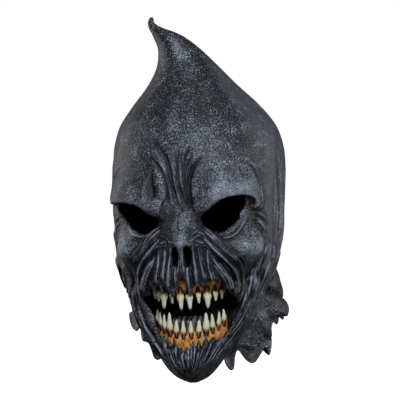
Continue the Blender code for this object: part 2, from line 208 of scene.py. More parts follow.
def skinPoint(s, z, rise):
    rows = sectionAt(z)
    sine, cosine = np.sin(s / 100), np.cos(s / 100)
    reach = np.where(cosine > 0, rows[:, 4], rows[:, 5])
    power = np.where(cosine > 0, rows[:, 6], 2.1)
    radius = ((np.abs(sine) / rows[:, 3]) ** power + (np.abs(cosine) / reach) ** power) ** (-1 / power) + rise
    return np.stack([rows[:, 1] + radius * sine, rows[:, 2] - radius * cosine, z], axis=1)


def smoothPath(points, parts=6):
    # a curve through the points
    points = np.array(points, float)
    p = np.vstack([2 * points[0] - points[1], points, 2 * points[-1] - points[-2]])
    t = (np.arange(parts) / parts)[:, None]
    made = [0.5 * (2 * b + (c - a) * t + (2 * a - 5 * b + 4 * c - d) * t**2 + (3 * b - a - 3 * c + d) * t**3)
            for a, b, c, d in zip(p, p[1:], p[2:], p[3:])]
    return np.vstack(made + [points[-1:]])


def stepUp(low, high, x):
    t = np.clip((x - low) / (high - low), 0, 1)
    return t * t * (3 - 2 * t)


def pathDistance(s, z, path):
    # distance to the path, how far along it (0 to 1), and which side
    best, along, side = np.full(len(s), 1e9), np.zeros(len(s)), np.ones(len(s))
    runs = np.diff(path, axis=0)
    lengths = np.hypot(runs[:, 0], runs[:, 1]) + 1e-9
    reached = np.concatenate([[0], np.cumsum(lengths)]) / lengths.sum()
    for i, run in enumerate(runs):
        ds, dz = s - path[i, 0], z - path[i, 1]
        t = np.clip((ds * run[0] + dz * run[1]) / lengths[i] ** 2, 0, 1)
        d = np.hypot(ds - t * run[0], dz - t * run[1])
        near = d < best
        best[near] = d[near]
        along[near] = (reached[i] + t * (reached[i + 1] - reached[i]))[near]
        side[near] = np.sign(run[0] * dz - run[1] * ds)[near]
    return best, along, side


def loopDistance(s, z, loop):
    # distance to a closed outline, less than 0 inside, and the nearest point on it
    best, near = np.full(len(s), 1e9), np.stack([s, z], axis=1)
    inside = np.zeros(len(s), bool)
    for (s0, z0), (s1, z1) in zip(loop, np.roll(loop, -1, axis=0)):
        rs, rz = s1 - s0, z1 - z0
        t = np.clip(((s - s0) * rs + (z - z0) * rz) / (rs * rs + rz * rz + 1e-12), 0, 1)
        ns, nz = s0 + t * rs, z0 + t * rz
        d = np.hypot(s - ns, z - nz)
        closer = d < best
        best[closer] = d[closer]
        near[closer] = np.stack([ns, nz], axis=1)[closer]
        if z0 != z1:
            inside ^= ((z0 > z) != (z1 > z)) & (s < s0 + (z - z0) / (z1 - z0) * rs)
    return np.where(inside, -best, best), near


def smoothLoop(points, parts=4):
    points = np.array(points, float)
    path = smoothPath(np.vstack([points[-2:], points, points[:3]]), parts)
    return path[2 * parts:-2 * parts - 1]


def wander(s, z, seed, size):
    # smooth random values from -1 to 1 with features about this size
    own = np.random.default_rng(seed)
    total = np.zeros(len(s))
    for _ in range(7):
        angle, phase = own.uniform(0, turn / 100, 2)
        pace = own.uniform(0.7, 1.5) * 2.4 / size
        total += np.sin((s * math.cos(angle) + z * math.sin(angle)) * pace + phase)
    return total / 3.5


# The sculpt, drawn for the wearer's left (s above 0) and mirrored with small differences.
# Soft forms: s, z, reach in s, reach in z, height
softForms = [
    (44, -82, 34, 19, 4.0), (30, -96, 15, 15, 3.0), (58, -86, 20, 14, 2.5), (43, -119, 30, 15, -5.5),
    (21, -124, 10, 9, -4.5), (66, -148, 19, 16, 10.5), (80, -150, 13, 14, 3.0), (50, -151, 16, 10, 2.0),
    (74, -180, 15, 20, -6.0), (94, -150, 14, 40, -2.0), (30, -172, 30, 20, 3.0), (14, -60, 12, 16, 1.5),
    (30, -262, 22, 16, 1.5), (86, -88, 10, 22, -2.2), (46, -152, 8, 16, -1.5), (66, -214, 10, 12, -2.0),
]
middleForms = [
    (0, -130, 9, 22, 6.5), (0, -147, 10, 9, 7.0), (0, -174, 16, 12, 4.5), (0, -112, 12, 11, -3.5),
    (0, -185, 36, 14, 3.5), (0, -34, 42, 26, 1.5), (2, -262, 26, 18, 3.0), (-24, -90, 6, 11, -3.4),
    (0, -159, 9, 8, 1.0),
]
# Rounded folds: path, half width, height, taper at the start, taper at the end.
# A 1 after those keeps a fold to the side it is drawn on.
folds = [
    ([(20, -127.5), (28, -133), (36, -140), (45, -148.5), (54, -158), (64, -169.5), (73, -183), (77, -198),
      (76, -214)], 5.2, 3.6, 0.15, 0.3),
    ([(20, -135), (28, -142.5), (36, -150), (45, -158), (53, -167), (61, -178), (65, -190), (65, -201)],
     4.8, 3.6, 0.15, 0.12),
    ([(31, -157), (37.5, -165), (44, -173), (51, -183), (55.5, -193)], 5.0, 4.4, 0.2, 0.12),
    ([(19, -127), (27, -132), (37, -135.5), (47, -134.5), (56, -129), (63, -120), (68, -111)],
     2.6, 1.2, 0.3, 0.4),
    ([(20.5, -136), (18.5, -148), (19.5, -158), (22, -168), (24, -182)], 3.4, 3.0, 0.5, 0.15),
    ([(26.5, -142), (26, -154), (27.5, -166), (31, -176), (33, -188)], 3.2, 2.8, 0.5, 0.15),
    ([(11.8, -139), (12, -153), (14, -165), (15.5, -178), (18, -192)], 3.0, 3.4, 0.5, 0.15),
    ([(6.5, -160), (5.8, -171), (6.8, -184), (7.5, -196)], 2.8, 3.2, 0.3, 0.15),
    ([(1.0, -148), (0.8, -160), (2.0, -170), (5, -182)], 2.0, 2.6, 0.3, 0.3),
    ([(10, -131), (14, -127), (19, -124)], 1.3, 1.6, 0.3, 0.3),
    ([(8, -137), (13, -132), (19, -128)], 1.3, 1.8, 0.3, 0.3),
    ([(8, -143), (14, -137), (21, -133)], 1.3, 1.8, 0.3, 0.3),
    ([(70, -114), (79, -116), (90, -121), (97, -128)], 2.3, 2.0, 0.3, 0.4),
    ([(69, -121), (79, -123), (88, -130), (94, -140)], 2.3, 2.0, 0.3, 0.4),
    ([(-25, -46), (-18, -58), (-13, -70), (-10, -83), (-7, -97), (-5, -108)], 2.2, 1.6, 0.5, 0.3, 1),
    ([(-9, -56), (-6, -70), (-4, -84), (-1, -97), (3, -111)], 2.2, 1.3, 0.6, 0.3, 1),
    ([(1.5, -50), (1, -64), (1.2, -78), (3, -92), (6, -106)], 1.6, 1.2, 0.6, 0.3, 1),
    ([(13, -56), (9, -68), (7, -80), (7, -94), (9.5, -108)], 1.5, 1.3, 0.5, 0.3, 1),
]
# Creases: path, half width, depth; a 1 keeps it to the side it is drawn on
creases = [
    ([(-29, -37), (-20, -47), (-13.5, -56), (-10, -65), (-8, -75), (-6, -86), (-2, -98)], 1.7, 3.6, 1),
    ([(-33, -50), (-21, -63.5), (-14.5, -74), (-11.5, -84), (-10, -95), (-11, -107)], 1.4, 3.4, 1),
    ([(-3, -48), (-2.5, -66), (-1.5, -78), (1, -89), (5, -100), (9, -110)], 1.0, 2.4, 1),
    ([(14, -40), (7, -53), (4.2, -64), (3, -75), (3.4, -86)], 1.0, 2.4, 1),
    ([(19, -47), (9, -61), (5.6, -72), (5, -83), (6, -94), (8.5, -105)], 1.1, 2.6, 1),
    ([(25, -53), (14, -66.5), (10, -76.5), (8.8, -88), (9.6, -99), (12.5, -111)], 2.1, 4.4, 1),
    ([(-24.5, -68), (-26, -84), (-23, -100)], 2.6, 1.8, 1),
    ([(13, -121), (22, -124.5), (30, -127)], 1.2, 1.6),
    ([(50, -62), (62, -64), (72, -71), (76, -82), (78.5, -94.5), (76, -106), (69, -114)], 1.2, 2.2),
    ([(54, -54), (68, -58.5), (79, -67), (84, -80), (86, -96)], 1.0, 0.9),
    ([(18, -124), (27, -128.5), (36, -136), (45, -145), (54, -154), (63, -164), (73, -176), (81, -190),
      (83, -206)], 1.4, 3.2),
    ([(18, -131), (26, -137.5), (34, -144.5), (43, -152.5), (52, -161.5), (61, -172), (68, -184), (71, -200)],
     1.0, 2.4),
    ([(19, -139), (27, -146.5), (34, -154), (42, -161), (50, -169), (57, -180), (61, -192)], 1.5, 3.8),
    ([(31, -152), (38, -160.5), (45, -168.5), (51, -177)], 1.0, 1.4),
    ([(24, -127.5), (33, -133), (43, -143), (54, -154.5), (66, -169)], 0.7, 1.0),
    ([(25, -131.5), (34, -139), (43, -147.5), (55, -160.5), (67, -176)], 0.7, 1.0),
    ([(24, -138), (35, -147.5), (46, -157.5), (57, -171), (64, -188)], 0.7, 1.0),
    ([(35, -157), (43, -166), (50, -176), (56, -189)], 0.7, 1.0),
    ([(41, -163), (47, -172), (53, -184)], 0.7, 0.9),
    ([(66, -113), (76, -114), (87, -118), (95, -125)], 0.9, 1.4),
    ([(66, -118), (78, -119.5), (88, -125.5), (96, -134)], 0.9, 1.5),
    ([(62, -128), (71, -126), (81, -131), (88, -142), (89, -154), (85, -166)], 1.3, 2.2),
    ([(15, -142), (14.5, -152), (16, -162), (19, -174), (20.5, -186)], 1.0, 3.0),
    ([(22, -141), (21, -152), (22.5, -163), (26.5, -175), (28.5, -186)], 1.1, 3.2),
    ([(0, -163), (-0.6, -174), (0.5, -184)], 1.0, 2.2), ([(9.6, -165), (10, -177), (12, -189)], 1.0, 2.8),
]
# Bundles of strands between two guide paths: first guide, last guide, how many, half width, height
bundles = [
    ([(74, -170), (78, -188), (77, -208), (70, -231), (58, -252), (42, -272)],
     [(108, -136), (113, -160), (111, -190), (105, -220), (96, -245), (86, -266)], 8, 1.85, 5.0),
    ([(78, -190), (77, -210), (71, -232), (58, -252), (44, -270)],
     [(106, -150), (109, -185), (103, -220), (92, -252), (80, -270)], 5, 0.9, 4.0),
    ([(112, -146), (117, -172), (119, -196), (115, -220)],
     [(150, -140), (153, -172), (155, -192), (150, -206)], 6, 2.6, 3.8),
    ([(3, -252), (4, -263), (3, -278)], [(58, -240), (43, -262), (20, -284)], 5, 3.9, 4.6),
    ([(8, -252), (9, -263), (6, -278)], [(50, -243), (38, -262), (18, -282)], 5, 1.3, 3.4),
    ([(88, -150), (92, -165), (96, -180)], [(104, -124), (108, -150), (108, -178)], 4, 2.4, 2.0),
    ([(28, -158), (31, -168), (36, -178), (40, -190)], [(36, -163), (42, -173), (47, -184), (50, -193)],
     3, 1.4, 2.0),
    ([(10, -126), (17, -130), (25, -132)], [(12, -147), (20, -147), (28, -148)], 4, 1.3, 1.6),
]
# Finely combed areas: the guides at both sides and the width between them
combs = [([(72, -150), (75, -172), (78, -188), (77, -208), (70, -231), (58, -252), (42, -272)],
          [(112, -130), (116, -160), (114, -190), (108, -220), (98, -245), (86, -270)], 26),
         ([(0, -246), (0, -262), (0, -284)], [(72, -236), (52, -262), (26, -284)], 25)]
# The long folds down the hood sides: s, top, bottom, half width, depth
sideFolds = [(110, -66, -150, 2.0, 2.0), (118, -50, -158, 2.6, 4.0), (127, -44, -165, 2.9, 5.4),
             (135, -60, -168, 2.2, 3.8), (143, -50, -172, 2.8, 4.6), (152, -66, -176, 2.4, 3.6),
             (161, -56, -170, 2.6, 2.8), (176, -60, -165, 2.8, 2.2), (196, -50, -168, 2.6, 1.8),
             (222, -64, -170, 3.0, 1.7)]


# The brows' lower edges and the eye holes differ a little from side to side; 1 is the wearer's left
browEdges = {1: [(10, -116), (15, -117), (22.5, -110), (30, -101.5), (37, -96), (45.5, -93.3), (57, -93),
                 (67, -96.5), (72, -104.5), (70, -114)],
             -1: [(13, -117), (20, -118), (27, -112), (32, -105.5), (38.5, -101), (48, -99), (64, -98.6),
                  (77, -100), (84, -106)]}
eyeHoles = {1: [(19, -119.5), (24, -110.5), (30, -103), (37, -97.8), (46, -95.5), (56.5, -95.5),
                (60.5, -98.5), (62.5, -104.5), (61, -110.5), (58, -115), (56.5, -120.5), (51, -126),
                (45, -130.5), (37, -132.5), (30, -130.5), (24, -126.5)],
            -1: [(24, -119.5), (30, -113.5), (34, -107.8), (39.5, -103.3), (49.5, -101), (63.5, -101),
                 (75, -103), (74.5, -109), (68, -116), (60.5, -123), (52.5, -128.5), (43.5, -132.5),
                 (36.5, -133.5), (30, -130.5), (25.5, -125.5)]}


def sided(s, z, mirror):
    # where a point lies on the drawn side; the two sides are not quite the same
    if mirror == 1:
        return s, z + 4.5 * np.exp(-((s - 58) / 34) ** 4 - ((z + 158) / 34) ** 4)
    wider = 0.16 * np.exp(-((z + 165) / 28) ** 4) + 0.03 * np.sin(z / 31)
    lower = 1.5 * np.sin(s / 15) + 3 * np.exp(-((z + 158) / 30) ** 4)
    return -s * (1 + wider) + 1.2 * np.sin(z / 17 + 1), z + lower


def strandsOf(bundle, seed):
    # strand paths spread between the bundle's guides, each with its own waver
    own = np.random.default_rng(seed)
    first, last, count, half, height = bundle
    share, guides = np.linspace(0, 1, 15), []
    for path in (smoothPath(first, 4), smoothPath(last, 4)):
        reached = np.linspace(0, 1, len(path))
        guides.append(np.stack([np.interp(share, reached, path[:, k]) for k in (0, 1)], axis=1))
    first, last = guides
    made = []
    for i in range(count):
        at = (i + 0.5 + own.uniform(-0.22, 0.22)) / count
        waver = np.cumsum(own.normal(0, 0.35, (15, 2)), axis=0)
        begin, end = int(own.integers(0, 4)), 15 - int(own.integers(0, 3))
        path = (first + (last - first) * at + waver - waver.mean(axis=0))[begin:end]
        made.append((path, half * own.uniform(0.8, 1.25), height * own.uniform(0.7, 1.15), 0.22, 0.12))
    return made


def swelling(u, v, form):
    # a soft round swelling, or a hollow where its height is below 0
    middleU, middleV, reachU, reachV, height = form
    return height * np.exp(-(((u - middleU) / reachU) ** 2 + ((v - middleV) / reachV) ** 2) * 1.4)


def closeTo(u, v, path, margin):
    # the points in the box round a path, so that the rest aren't measured
    low, high = path.min(axis=0) - margin, path.max(axis=0) + margin
    return np.flatnonzero((u > low[0]) & (u < high[0]) & (v > low[1]) & (v < high[1]))


def raiseBrow(face, s, z, edge):
    # the brow is full at its lower edge, then turns under and hangs over the eye
    d, along, above = pathDistance(s, z, smoothPath(edge))
    ends = stepUp(0, 0.3, along) * (1 - stepUp(0.88, 1, along)) * stepUp(4, 14, s)
    face["rise"] += 7.5 * np.exp(-(d / np.where(above > 0, 15, 2.2)) ** 2) * ends
    face["drop"] -= 3.2 * np.exp(-(d / np.where(above > 0, 9, 2.2)) ** 2) * ends


def layStroke(face, u, v, n, path, wide, height, early, late):
    # one raised fold or strand, laid over what is lower, with its paint streaks along it
    pick = closeTo(u, v, path, wide)
    if not len(pick):
        return
    d, along, side = pathDistance(u[pick], v[pick], path)
    full = stepUp(0, max(early, 0.02), along) * (1 - stepUp(1 - max(late, 0.02), 1, along))
    reach = wide * (0.35 + 0.65 * full)
    rope = wide > 4  # wide folds are flat-topped, and finely ribbed along their length
    bulge = np.sqrt(np.clip(1 - (d / reach) ** (4 if rope else 2), 0, 1)) * height * (0.2 + 0.8 * full)
    if rope:
        rib = np.cos((side * d + 0.8 * np.sin(along * 9 + n)) * 2 * math.pi / 3.1)
        bulge += 0.4 * rib * full * (d < reach)
    over = bulge > face["strands"][pick]
    length = np.hypot(*np.diff(path, axis=0).T).sum()
    face["flow"][pick[over]] = np.stack([side * d + 11.3 * n, along * length], axis=1)[over]
    face["strands"][pick] = np.maximum(face["strands"][pick], bulge)
    streaks = np.clip(1.4 - d / reach, 0, 1) * (0.6 if rope else 0.75)
    face["fibre"][pick] = np.maximum(face["fibre"][pick], streaks)
    # the groove at its foot, painted as shade
    soft = 0.14 * wide + np.where(v[pick] < -188, 1.05, 0.55)
    foot = np.exp(-(((d - reach) / soft) ** 2)) * full * min(1, height / 3)
    face["creaseShade"][pick] = np.maximum(face["creaseShade"][pick], foot * (bulge < 0.6 * height))


def cutCrease(face, u, v, path, wide, deep):
    pick = closeTo(u, v, path, 3 * wide)
    if not len(pick):
        return
    d, along, _ = pathDistance(u[pick], v[pick], path)
    ends = stepUp(0, 0.4, along) * (1 - stepUp(0.8, 1, along))
    face["rise"][pick] -= deep * np.exp(-(d / (wide * (0.5 + 0.5 * ends))) ** 2) * ends
    # painted shade along the crease
    dark = np.exp(-(d / (wide * 1.1)) ** 2) * ends * min(1, deep / 2.2)
    face["creaseShade"][pick] = np.maximum(face["creaseShade"][pick], dark)


def combArea(face, a, b, first, last, width):
    # paint streaks that fan out between two guides
    first, last = smoothPath(first, 4)[::-1], smoothPath(last, 4)[::-1]
    near, away = np.interp(b, first[:, 1], first[:, 0]), np.interp(b, last[:, 1], last[:, 0])
    across = (a - near) / (away - near)
    below = 1 - stepUp(first[-1, 1] - 10, first[-1, 1] + 8, b)
    inside = stepUp(-0.1, 0.05, across) * (1 - stepUp(0.95, 1.15, across)) * below
    taken = (inside > 0.25) & (a > -1)
    face["flow"][taken] = np.stack([across * width + 1.2 * np.sin(b / 13 + a / 30), b], axis=1)[taken]
    face["fibre"][taken] = np.maximum(face["fibre"], inside)[taken]


def pleatSide(face, a, b, at, top, bottom, wide, deep):
    # a long fold down the side of the hood: a groove with a swelling beside it
    middle = at + 2.2 * np.sin(b / 23 + at) - 0.07 * (b + 100)
    ends = stepUp(bottom, bottom + 35, b) * (1 - stepUp(top - 45, top, b))
    dip = np.exp(-((a - middle) / wide) ** 2) * ends
    swell = np.exp(-((a - middle - 2.2 * wide) / (1.8 * wide)) ** 2) * ends
    face["rise"] += -deep * dip + 0.35 * deep * swell
    # painted shade in the side fold's groove
    face["creaseShade"] = np.maximum(face["creaseShade"], dip * min(1, deep / 2.4))


def sculpt(s, z):
    # the rise and the drop in mm, and what the paint follows, at each point round the head
    face = {key: np.zeros(len(s)) for key in ("rise", "drop", "strands", "creaseShade", "fibre")}
    face["flow"] = np.stack([s, z], axis=1)
    for mirror in (1, -1):
        a, b = sided(s, z, mirror)
        for form in softForms:
            face["rise"] += swelling(a, b, form)
        raiseBrow(face, s * mirror, z, browEdges[mirror])
        strokes = [(smoothPath(f[0]), *f[1:]) for f in folds if mirror == 1 or len(f) == 5]
        for k, bundle in enumerate(bundles):
            strokes += strandsOf(bundle, 40 + k + 10 * mirror)
        for n, stroke in enumerate(strokes):
            u, v = (s, z) if len(stroke) == 6 else (a, b)
            layStroke(face, u, v, n, *stroke[:5])
        for crease in creases:
            if len(crease) == 3 or mirror == 1:
                u, v = (s, z) if len(crease) == 4 else (a, b)
                cutCrease(face, u, v, smoothPath(crease[0]), *crease[1:3])
        for area in combs:
            combArea(face, a, b, *area)
        for fold in sideFolds:
            pleatSide(face, a, b, *fold)
    for form in middleForms:
        face["rise"] += swelling(s, z, form)
    # slow unevenness of hand-modelled clay
    uneven = 0.8 * wander(s, z, 3, 30) * (1 - stepUp(-20, 40, z)) + 0.25 * wander(s, z, 5, 9) * (z < 0)
    face["rise"] += face["strands"] + uneven
    return face


# Openings in the mask, as outlines of s and z
nostril = [(3.4, -148.5), (5.4, -146.5), (8.0, -148), (9.2, -154.5), (8.6, -162), (6.6, -167), (4.6, -163),
           (3.2, -156)]
mouthTop = [(-64, -203), (-58, -199), (-51, -198), (-45, -196), (-41, -189), (-38.5, -191), (-36, -197),
            (-33.5, -191), (-31, -185.5), (-28.5, -189), (-26, -196), (-23.5, -190), (-21.5, -187),
            (-20, -194), (-17.5, -191), (-15.5, -197), (-12.5, -199.5), (-9, -195), (-6.5, -187),
            (-2, -181), (3, -183), (5, -190), (7.5, -198), (10, -196), (11.5, -189), (14.5, -185),
            (18, -183.5), (20, -187), (22.8, -190), (25, -185), (27.3, -182), (29, -185.5), (31.5, -181.5),
            (35, -183), (39, -184.5), (44, -185.5), (50, -191), (59, -197.5), (68, -201), (77, -205.5)]
mouthLow = [(76.5, -211), (74, -219), (74.5, -228), (71, -237), (61, -244), (52, -240), (45, -245),
            (40, -241), (36.5, -236.5), (33.5, -246), (30, -249), (26.5, -243.5), (23, -242), (20, -249),
            (15, -245), (12, -243.5), (8.5, -252), (1, -249), (-5, -254), (-10, -249.5), (-15, -251.5),
            (-20, -246), (-24.5, -240.5), (-29, -247), (-35, -249), (-39, -247), (-43, -241), (-47, -237.5),
            (-50.5, -243), (-54, -240), (-54.5, -231), (-52, -222), (-54, -213), (-60, -207)]


def openings():
    shapes = []
    for place, eye in eyeHoles.items():
        for outline in (eye, nostril):
            loop = smoothLoop(outline)
            shapes.append(np.stack([place * loop[:, 0], loop[:, 1]], axis=1))
    return shapes + [smoothLoop(mouthTop + mouthLow, 3)]


def jawEdge(z):
    # how far round the face the front goes at each height
    return np.interp(z, [-291, -284, -272, -256, -240, -226, -214, -207, -203],
                     [118, 118, 119, 121, 124, 129, 138, 152, seamS])


# Rows and columns of the face's grid, closest together where the folds and the openings are
rowHeights = np.concatenate([np.arange(-290.6, -262, 2.1), np.arange(-261, -99, 1.24),
                             np.arange(-98.5, -54, 1.6), np.arange(-52, 84, 3.2),
                             [85.5, 87.5, 89.4, 90.8, 91.6, 91.9]])
fineColumns = np.concatenate([[-seamS], np.arange(-163.3, -99, 2.5), np.arange(-97.5, 98, 1.2),
                              np.arange(99.8, 166, 2.5)[:-1], [seamS]])


def gridMesh(columns, rows):
    # a flat grid whose points know their column and row
    bm = bmesh.new()
    bmesh.ops.create_grid(bm, x_segments=columns - 1, y_segments=rows - 1, size=0.5)
    place = np.array([v.co for v in bm.verts])
    column, row = np.rint((place[:, :2] + 0.5) * (columns - 1, rows - 1)).astype(int).T
    return bm, column, row


def finishPiece(name, bm, material, body, replaced=(), values=None, uv=None, second=None, crisp=None):
    # mesh in millimetres to an object in metres, with its attributes, on its body
    bmesh.ops.scale(bm, vec=(0.001, 0.001, 0.001), verts=bm.verts)
    mesh = bpy.data.meshes.new(name)
    bm.to_mesh(mesh)
    bm.free()
    for key, data in (values or {}).items():
        mesh.attributes.new(key, "FLOAT", "POINT").data.foreach_set("value", np.asarray(data, np.float32))
    if uv is not None:
        layer = mesh.uv_layers.new(name="skin")
        corner = np.empty(len(mesh.loops), np.int32)
        mesh.loops.foreach_get("vertex_index", corner)
        layer.data.foreach_set("uv", (uv[corner] * 0.001).astype(np.float32).ravel())
    mesh.polygons.foreach_set("use_smooth", [True] * len(mesh.polygons))
    if crisp is not None:
        # edges between marked points shade as sharp, so that the rim doesn't round the joint of two pieces
        ends = np.empty(len(mesh.edges) * 2, np.int32)
        mesh.edges.foreach_get("vertices", ends)
        mesh.edges.foreach_set("use_edge_sharp", crisp[ends.reshape(-1, 2)].all(axis=1))
    obj = bpy.data.objects.new(name, mesh)
    bpy.context.scene.collection.objects.link(obj)
    for mat in (material, second):
        if mat:
            mesh.materials.append(mat)
    if body:
        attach(obj, body)
    if replaced:
        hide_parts(*replaced)
    return obj


def wall(obj, thickness, inner=False):
    # thickness added inwards, with the second material on the inside
    shell = obj.modifiers.new("wall", "SOLIDIFY")
    shell.thickness = thickness * 0.001
    shell.offset = -1
    if inner:
        shell.material_offset = 1
        shell.material_offset_rim = 0
    return obj


def meanRound(values, columns, rows, reach):
    # each point's average over its neighbours in the grid
    field = values.reshape(rows, columns)
    for axis in (0, 1):
        padded = np.pad(field, [(reach, reach) if k == axis else (0, 0) for k in (0, 1)], "edge")
        total = sum(np.roll(padded, k, axis) for k in range(-reach, reach + 1))
        field = np.take(total, range(reach, total.shape[axis] - reach), axis) / (2 * reach + 1)
    return field.ravel()


# How heavily the dry brush is loaded, with painted highlights and painted light laid in the same way:
# overall, then in patches of amount, s, z, reach in s, reach in z
brushAndLightLook = {
    "all": 0.26, "hoodTop": -0.1, "chin": 0.34, "jaw": -0.08,
    "onLift": 0.36, "onSwell": 0.06, "grooveShade": -0.75,
    # the positive patches on the forehead, brows and nose, and the cheek patches below, are brush with a
    # painted highlight over it; the last patch, on the front of the peak, is a painted highlight
    "patches": [(0.26, 4, -44, 30, 24), (0.5, 36, -84, 27, 17), (0.28, 66, -84, 12, 12),
                (-0.1, -48, -84, 24, 17), (0.12, 24, -160, 22, 26), (0.12, -24, -160, 22, 26),
                (0.55, 0, -140, 7, 9), (0.3, 0, -118, 9, 14), (0.95, 8, 53, 24, 11)],
    "cheeks": {1: (0.7, 68, -153, 21, 19), -1: (0.7, 58, -153, 21, 19)},
}


def brushAndLightLevel(s, z, far, side):
    level = brushAndLightLook["all"] + brushAndLightLook["hoodTop"] * stepUp(-30, 10, z)
    for amount, middleS, middleZ, reachS, reachZ in brushAndLightLook["patches"]:
        level += amount * np.exp(-((s - middleS) / reachS) ** 2 - ((z - middleZ) / reachZ) ** 2)
    for mirror, (amount, middleS, middleZ, reachS, reachZ) in brushAndLightLook["cheeks"].items():
        a = s * mirror
        outside = stepUp(-4, 14, 1.1 * (a - 25) + z + 127)  # out past the folds that run down from the nose
        level += amount * np.exp(-((a - middleS) / reachS) ** 2 - ((z - middleZ) / reachZ) ** 2) * outside
    # painted light brightening the lower chin
    level += brushAndLightLook["chin"] * (1 - stepUp(-262, -240, z)) * np.exp(-(s / 60) ** 2)
    level += brushAndLightLook["jaw"] * (1 - stepUp(-200, -180, z)) * stepUp(50, 70, far)
    return level * (1 - 0.75 * side) * np.where(far > seamS, 0.6, 1)


def paintValues(s, z, face, columns, rows, order):
    # where the dry brush caught and the painted highlights lie, how dark the painted shade in the grooves is,
    # and where the hood's sides carry the painted grey reflection
    inOrder = face["rise"][np.argsort(order)]
    lift = (inOrder - meanRound(inOrder, columns, rows, 3))[order]
    swell = (inOrder - meanRound(inOrder, columns, rows, 9))[order]
    far = np.abs((s + turn / 2) % turn - turn / 2)
    # painted reflection: the hood's sides are painted grey where the white surroundings would reflect
    side = stepUp(84, 104, far) * stepUp(-190, -150, z) * (1 - stepUp(30, 62, z))
    side = np.maximum(side, stepUp(60, 90, far) * stepUp(-60, -20, z) * (1 - stepUp(10, 40, z)))
    brushed = brushAndLightLevel(s, z, far, side) + brushAndLightLook["onLift"] * lift + brushAndLightLook["onSwell"] * swell
    # painted shade: no brush in the grooves, which go near black with every point lower than its neighbours
    brushed += brushAndLightLook["grooveShade"] * face["creaseShade"]
    groove = np.clip(face["creaseShade"] * 1.1 + np.clip(-0.6 * lift - 0.15, 0, 1), 0, 1)
    brushed, fibre = np.clip(brushed, -0.3, 1.4), np.clip(face["fibre"], 0, 1)
    return {"brushed": brushed, "groove": groove, "side": side, "fibre": fibre}


frontLook = {"wall": 2.3, "snap": 1.0, "turnIn": 3.2, "turnReach": 1.6, "rimPaint": 0.12, "rimReach": 2.2}


def makeFront(look):
    columns, rows = len(fineColumns), len(rowHeights)
    bm, i, j = gridMesh(columns, rows)
    z = rowHeights[j]
    s = fineColumns[i] * jawEdge(z) / seamS
    depth = np.full(len(s), 1e9)
    for loop in openings():
        d, near = loopDistance(s, z, loop)
        snap = np.abs(d) < look["snap"]
        s[snap], z[snap] = near[snap, 0], near[snap, 1]
        depth = np.minimum(depth, d)
    face = sculpt(s, z)
    # the opening's edges turn inwards
    turnedIn = look["turnIn"] * np.exp(-np.clip(depth, 0, 99) / look["turnReach"])
    face["rise"] -= turnedIn * (np.abs(s) < 80) * (z < -98)
    place = skinPoint(s, z, face["rise"])
    place[:, 2] += face["drop"]
    values = paintValues(s, z, face, columns, rows, j * columns + i)
    values["brushed"] += look["rimPaint"] * np.exp(-np.clip(depth, 0, 99) / look["rimReach"])
    for v, co in zip(bm.verts, place):
        v.co = co
    bm.verts.ensure_lookup_table()
    holes = [f for f in bm.faces if max(depth[v.index] for v in f.verts) < look["snap"]]
    layer = bm.verts.layers.int.new("first")
    for v in bm.verts:
        v[layer] = v.index
    bmesh.ops.delete(bm, geom=holes, context="FACES")
    bmesh.ops.recalc_face_normals(bm, faces=bm.faces)
    kept = np.array([v[layer] for v in bm.verts])
    bm.verts.layers.int.remove(layer)
    if sum(f.normal.y for f in bm.faces) > 0:
        bmesh.ops.reverse_faces(bm, faces=bm.faces)
    front = finishPiece("maskFront", bm, latex, None, ("front_skin", "jaw_skin"),
                        {k: v[kept] for k, v in values.items()}, face["flow"][kept], latexInside,
                        ((i == 0) | (i == columns - 1))[kept])
    wall(front, look["wall"], True)
    hinge = Vector((0, -0.5, -0.87))
    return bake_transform(front, "mask", "jaw", hinge * 0.228, hinge * 0.248)


maskFront = makeFront(frontLook)
print("face sculpted:", len(maskFront.data.polygons), "faces")

backLook = {"columns": 74, "rows": 120, "napeZ": -176, "wall": 2.3}


def makeRear(look):
    bm, i, j = gridMesh(look["columns"], look["rows"])
    s = seamS + (turn - 2 * seamS) * i / (look["columns"] - 1)
    share = np.clip((np.abs(s - turn / 2) - 118) / (turn / 2 - seamS - 118), 0, 1)
    low = look["napeZ"] + (-203 - look["napeZ"]) * share * share * (3 - 2 * share)
    top = np.interp(np.arange(look["rows"]) / (look["rows"] - 1), [0, 0.9, 0.97, 1], [0, 0.93, 0.985, 1])[j]
    z = low + (rowHeights[-1] - low) * top
    near = (s + turn / 2) % turn - turn / 2
    face = sculpt(near, z)
    values = paintValues(near, z, face, look["columns"], look["rows"], j * look["columns"] + i)
    for v, co in zip(bm.verts, skinPoint(s, z, face["rise"])):
        v.co = co
    bmesh.ops.recalc_face_normals(bm, faces=bm.faces)
    if sum(f.normal.y for f in bm.faces) < 0:
        bmesh.ops.reverse_faces(bm, faces=bm.faces)
    rear = finishPiece("maskRear", bm, latex, "mask", ("rear_skin", "hood_tip"), values, face["flow"],
                       latexInside,
                       (i == 0) | (i == look["columns"] - 1))
    wall(rear, look["wall"], True)
    return rear


maskRear = makeRear(backLook)
print("back of the hood made")


# Old bone: cast resin, stained ochre and rubbed with brown in the pits, with painted shade round the roots,
# along the edge away from the teeth and over the back; slightly waxy.
boneLook = {"pitStainAndShade": "#2e1408", "brown": "#bc6c28", "ochre": "#f8a648", "pale": "#ffd68c", "grain": 0.0032,
            "pore": 0.0011, "roughness": 0.42}


